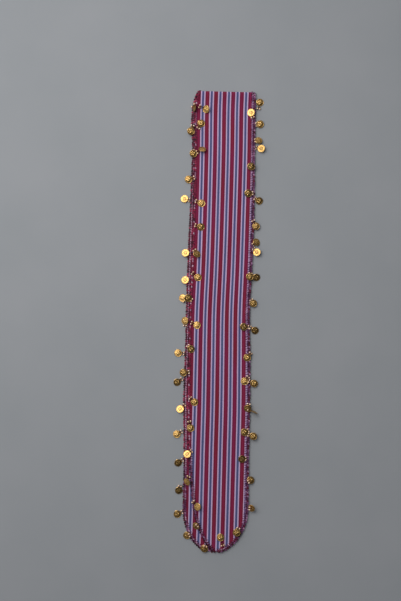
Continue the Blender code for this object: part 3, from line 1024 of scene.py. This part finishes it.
# %% Tables of the sequins
Pendant = namedtuple("Pendant", "stitch out along bead_out bead_along tilt facing")
PENDANTS = {
    "upper_left": [
        Pendant(20.0, -13.0, 3.5, -4.0, 0.5, 32, 214),
        Pendant(51.0, -7.5, -7.0, -3.5, -1.0, 13, 315),
        Pendant(83.0, -8.0, -5.0, -1.0, -1.0, 42, 80),
        Pendant(115.5, 9.5, 2.5, 2.0, 0.5, 11, 270),
        Pendant(146.5, -8.5, 3.0, -1.0, 0.5, 4, 300),
        Pendant(178.5, -8.5, 2.5, -1.0, 0.5, 11, 315),
        Pendant(210.5, -4.5, 6.5, -1.0, 1.5, 30, 35),
        Pendant(241.0, -7.0, 7.0, 0.5, 1.5, 5, 315),
        Pendant(279.5, 4.5, -3.5, -0.5, -1.0, 13, 300),
        Pendant(307.5, -8.5, 4.0, -1.0, 1.0, 2, 180),
        Pendant(338.0, -1.0, 5.5, 3.0, 1.0, 11, 315),
        Pendant(373.5, 8.5, 1.5, 1.0, 0.5, 6, 315),
        Pendant(407.5, -7.0, 6.5, -1.5, 1.0, 2, 200),
        Pendant(438.5, -1.5, 10.0, 0.0, 1.0, 3, 60),
        Pendant(478.5, 4.5, 4.0, -1.5, 0.5, 22, 115),
        Pendant(511.0, 7.5, 8.0, 4.5, 1.5, 40, 210),
        Pendant(544.0, -3.0, 8.5, 2.0, 1.5, 32, 180),
        Pendant(575.5, 4.5, 1.5, 2.5, 0.5, 30, 222),
        Pendant(601.5, 8.0, 2.5, 5.0, 0.5, 4, 20),
    ],
    "upper_right": [
        Pendant(35.5, -3.0, -8.0, -0.5, -1.5, 15, 188),
        Pendant(65.0, 8.0, -1.0, 3.0, -0.5, 26, 62),
        Pendant(99.5, -2.0, 0.0, 2.5, 0.0, 13, 315),
        Pendant(134.5, -5.5, 0.5, 0.5, 0.0, 13, 310),
        Pendant(169.5, 6.0, 8.5, 2.0, 1.5, 2, 135),
        Pendant(204.0, 7.5, -5.0, 3.0, -1.0, 28, 30),
        Pendant(239.5, 0.5, 6.0, 1.5, 1.5, 2, 45),
        Pendant(274.5, 7.5, 6.0, 4.5, 1.5, 2, 225),
        Pendant(312.5, -5.0, -0.5, 1.5, 0.0, 11, 315),
        Pendant(345.5, -1.0, 7.5, 4.0, 1.5, 2, 300),
        Pendant(377.5, -4.5, 7.0, 0.5, 1.0, 2, 225),
        Pendant(413.0, 0.0, 7.5, 1.5, 1.5, 22, 240),
        Pendant(449.5, -3.5, 2.5, 1.5, 0.0, 5, 315),
        Pendant(487.0, -6.0, 0.5, -1.0, 0.0, 12, 310),
        Pendant(517.5, 6.0, -1.5, 3.0, 0.0, 5, 30),
        Pendant(552.5, 7.0, 0.0, 4.5, 0.0, 30, 218),
        Pendant(580.5, -4.5, 7.0, -4.5, 1.0, 3, 60),
        Pendant(607.0, -15.5, -1.5, -5.0, 1.0, 4, 140),
    ],
    "under_left": [
        Pendant(22.0, 0.5, 1.5, 2.5, -1.5, 68, 180),
        Pendant(44.5, 4.0, 9.5, 1.5, 2.0, 13, 315),
        Pendant(81.0, 1.5, 3.0, 2.5, -1.5, 13, 315),
        Pendant(146.0, 11.0, -2.0, 4.5, -0.5, 11, 158),
        Pendant(213.0, 6.5, 3.0, 3.0, 0.5, 13, 142),
        Pendant(248.0, 5.5, 4.0, 3.0, 0.5, 14, 136),
        Pendant(282.0, 8.0, -6.0, 5.5, -1.5, 13, 180),
        Pendant(314.0, 4.5, -8.0, 4.0, -1.5, 28, 195),
        Pendant(350.0, 12.5, -0.5, 5.0, 0.0, 4, 130),
        Pendant(382.5, 12.0, 6.0, 6.0, 1.5, 11, 315),
        Pendant(417.0, 7.5, 6.5, 1.5, 1.0, 20, 118),
        Pendant(453.0, 12.5, 4.0, 6.0, 0.5, 6, 120),
        Pendant(490.0, 10.5, 5.5, 4.5, 1.5, 12, 315),
        Pendant(525.5, 9.0, 6.5, 7.5, 1.0, 12, 300),
        Pendant(559.5, 10.5, 4.0, 4.0, 1.0, 3, 330),
        Pendant(588.5, 5.5, 1.0, 2.0, 1.5, 2, 250),
    ],
    "under_right": [
        Pendant(23.5, 11.0, -10.5, 9.5, -2.0, 9, 325),
        Pendant(44.0, 11.5, -1.5, 6.0, -0.5, 8, 315),
        Pendant(73.0, 12.5, 2.0, 6.0, 0.5, 15, 178),
        Pendant(140.0, 12.0, 4.0, 6.0, 1.0, 11, 315),
        Pendant(207.0, 11.5, 5.5, 7.0, 1.0, 17, 154),
        Pendant(242.0, 12.5, 4.0, 6.0, 1.0, 18, 315),
        Pendant(312.0, 12.5, 5.0, 6.0, 1.0, 12, 320),
        Pendant(383.0, 13.5, 4.0, 6.5, 1.0, 3, 320),
        Pendant(420.0, 14.0, 5.0, 6.5, 1.0, 84, 67),
        Pendant(455.0, 12.5, 2.5, 6.0, 0.5, 1, 60),
    ],
}
print(f"{sum(len(rows) for rows in PENDANTS.values())} sequins show")

# %% [markdown]
# ## Hanging the sequins
# A pendant is made from the edging outward: a thread leaves the picots, takes two beads, passes
# through the sequin's hole and comes back through two more. A sequin that lies down leans as the
# ground below it does, with its own small tilt added, and one that is propped up keeps the tilt
# of the table. Either is set just clear of what its rim passes over. Where it reaches over its
# beads it rests on them, but where the loop has folded back, the beads lie on top.

# %% Beads, loops and sequins
BEAD_RADIUS = 1.3
BEAD_SIDES = 12
BEAD_PROFILE = [(0.35, -0.72), (0.72, -0.90), (1.08, -0.74), (1.28, -0.28), (1.28, 0.28),
                (1.08, 0.74), (0.72, 0.90), (0.35, 0.72)]   # out from the hole, and along it
BEAD_PAIR = 1.7       # each bead lies this far to its side of the loop's middle
BEAD_LEAN = 0.3       # the share of the thread's slope that a bead takes
Kind = namedtuple("Kind", "onward aside size finish")
KINDS = [Kind(0.0, 1.0, 1.0, 0), Kind(2.0, 0.66, 0.72, 1)]
THREAD_RADIUS = 0.25
ROOT_OUT = 2.6        # a loop leaves the edging this far out from the cut edge
FEET_ASIDE = 1.2      # each end of a loop starts this far to its side of the stitch
FOOT_LIFT = 0.1
ROUNDING = 0.8        # 0 would run a loop straight from bead to bead
CLEAR = 0.08          # between a sequin and what it lies on
MOST_SLOPE = 0.12     # a sequin is stiff, so it follows the ground no more steeply than this
STEEP = 40            # past this tilt, a sequin stands beside its beads and not on them
PROPPED = 10          # from this tilt on, a sequin is propped up and no longer follows the ground
FOLDED_BACK = 4.0     # nearer the sequin's middle than this, the beads lie on top of it
ANGLES = np.linspace(0, 2 * math.pi, 16, endpoint=False)


def bead(centre, axis, size, finish):
    """Return a short round bead with its hole along an axis."""
    axis = unit(axis)
    aside = unit(np.cross(axis, [0, 0, 1]))
    above = np.cross(aside, axis)
    turn = 2 * math.pi * np.arange(BEAD_SIDES) / BEAD_SIDES
    points = [centre + size * (axis * a + r * (math.cos(t) * aside + math.sin(t) * above))
              for t in turn for r, a in BEAD_PROFILE]
    count = len(BEAD_PROFILE)
    faces = []
    for i in range(BEAD_SIDES):
        faces += ring_quads(i * count, (i + 1) % BEAD_SIDES * count, count)
    return Part(np.array(points), faces, finish)


def stitch_place(arm, side, distance):
    """Return a stitch's place on the cut edge, the way out and the way to the tip, as in x, y."""
    before, here, after = (np.array([float(edges_x(arm, d)[side]), FOLD_Y - d])
                           for d in (distance - 1, distance, distance + 1))
    onward = unit(after - before)
    outward = np.array([-onward[1], onward[0]]) * (1 if side else -1)
    return here, outward, onward


def bead_places(middle, way, across):
    """Return where a loop's beads lie: on each of its two strands, one bead of each kind."""
    places = []
    for sign in (1, -1):
        for kind in KINDS:
            spot = middle + way * kind.onward + across * sign * BEAD_PAIR * kind.aside
            places.append(np.array([*spot, ground(*spot) + BEAD_RADIUS * kind.size]))
    return places


def ground_slope(centre):
    """Return the slope of what lies below a sequin, as its rise along x and y."""
    spots = np.array([[r * math.cos(a), r * math.sin(a)] for a in ANGLES
                      for r in (0.55 * SEQUIN_RADIUS, SEQUIN_RADIUS)])
    heights = np.array([ground(*(centre + spot)) for spot in spots])
    slope = 2 * (heights[:, None] * spots).sum(0) / (spots ** 2).sum()
    return slope * min(1, MOST_SLOPE / max(np.linalg.norm(slope), 1e-6))


def lay_sequin(centre, toward_hole, tilt, facing, places):
    """Return the points of a sequin laid on what is below it, and where its hole is."""
    slope = np.zeros(2) if tilt >= PROPPED else ground_slope(centre)
    facing = math.radians(facing)
    lean = math.tan(math.radians(tilt)) * np.array([math.cos(facing), math.sin(facing)])
    normal = unit([*(lean - slope), 1])
    along = np.array([*toward_hole, 0.0])
    along = unit(along - normal * (along @ normal))
    aside = np.cross(normal, along)
    rim = SEQUIN_RADIUS * (np.cos(ANGLES)[:, None] * along + np.sin(ANGLES)[:, None] * aside)
    below = np.array([ground(*(centre + p[:2])) for p in rim]) - rim[:, 2]
    height = below.max() + SEQUIN_WALL + CLEAR
    for place in places:
        gap = place[:2] - centre
        if np.linalg.norm(gap) < SEQUIN_RADIUS and tilt < STEEP:
            plane = -(gap @ normal[:2]) / normal[2]
            height = max(height, place[2] + BEAD_RADIUS - plane + SEQUIN_WALL)
    middle = np.array([*centre, height])
    points = (middle + SEQUIN_POINTS[:, :1] * along + SEQUIN_POINTS[:, 1:2] * aside
              + SEQUIN_POINTS[:, 2:] * normal)
    return points, middle + along * HOLE_OUT


def loop_path(points, steps=5):
    """Run a rounded path through the points, clear of what lies below."""
    points = np.array(points)
    fine = np.linspace(0, len(points) - 1, (len(points) - 1) * steps + 1)
    slopes = np.gradient(points, axis=0) * ROUNDING
    i = np.clip(fine.astype(int), 0, len(points) - 2)
    t = (fine - i)[:, None]
    path = ((1 + 2 * t) * (1 - t) ** 2 * points[i] + t * (1 - t) ** 2 * slopes[i]
            + t * t * (3 - 2 * t) * points[i + 1] + t * t * (t - 1) * slopes[i + 1])
    lowest = np.array([ground(*p[:2]) for p in path]) + THREAD_RADIUS
    path[:, 2] = np.maximum(path[:, 2], lowest)
    return path


def lift_onto(points, places):
    """Raise the beads that lie over a sequin until they rest on it."""
    for place, kind in zip(places, KINDS * 2):
        radius = BEAD_RADIUS * kind.size
        below = np.linalg.norm(points[:, :2] - place[:2], axis=1) < radius
        if below.any():
            place[2] = max(place[2], points[below, 2].max() + radius)


def hang(name):
    """Return one run's loops, beads and sequins as parts."""
    arm, side = RUNS[name]
    loops, beads, sequins = [], [], []
    for p in PENDANTS[name]:
        edge, outward, onward = stitch_place(arm, side, p.stitch)
        centre = edge + outward * p.out + onward * p.along
        middle = edge + outward * p.bead_out + onward * p.bead_along
        way = unit(centre - middle)
        across = np.array([-way[1], way[0]])
        places = bead_places(middle, way, across)
        on_top = np.linalg.norm(centre - middle) < FOLDED_BACK
        points, hole = lay_sequin(centre, -way, p.tilt, p.facing, [] if on_top else places)
        if on_top:
            lift_onto(points, places)
        sequins.append(Part(points, SEQUIN_FACES, 0))
        root = edge + outward * ROOT_OUT
        feet = [root + across * FEET_ASIDE, root - across * FEET_ASIDE]
        start, end = ([*foot, ground(*foot) + FOOT_LIFT] for foot in feet)
        route = loop_path([start, places[0], places[1], hole, places[3], places[2], end])
        loops.append(Part(*tube(route, THREAD_RADIUS), DARK_AND_SHADE))
        for place, kind in zip(places, KINDS * 2):
            axis = (hole - place) * [1, 1, BEAD_LEAN]
            beads.append(bead(place, axis, kind.size, kind.finish))
    return loops, beads, sequins


print(f"{2 * len(KINDS)} beads on each loop")

# %% [markdown]
# ## Putting it together
# Each run of edging becomes three pieces: its thread, its beads and its sequins. The plain solid
# that stood for them is replaced, and every piece rides on the band.

# %% Make and replace
trims = []
for name in RUNS:
    loops, beads, sequins = hang(name)
    thread = new_piece(f"crochet_{name}", crochet(name) + loops, THREADS, 80)
    strung = new_piece(f"seed_beads_{name}", beads, BEADS, 80)
    struck = new_piece(f"sequins_{name}", sequins, [GILT])
    raised = struck.data.attributes.new("raised", "FLOAT", "POINT")
    raised.data.foreach_set("value", np.tile(SEQUIN_RAISED, len(sequins)))
    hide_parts(f"edging_{name}")
    trims += [thread, strung, struck]
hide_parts("band_cloth")
for piece in [band] + trims:
    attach(piece, "root")
print(f"{1 + len(trims)} pieces, all riding on the band's own body")
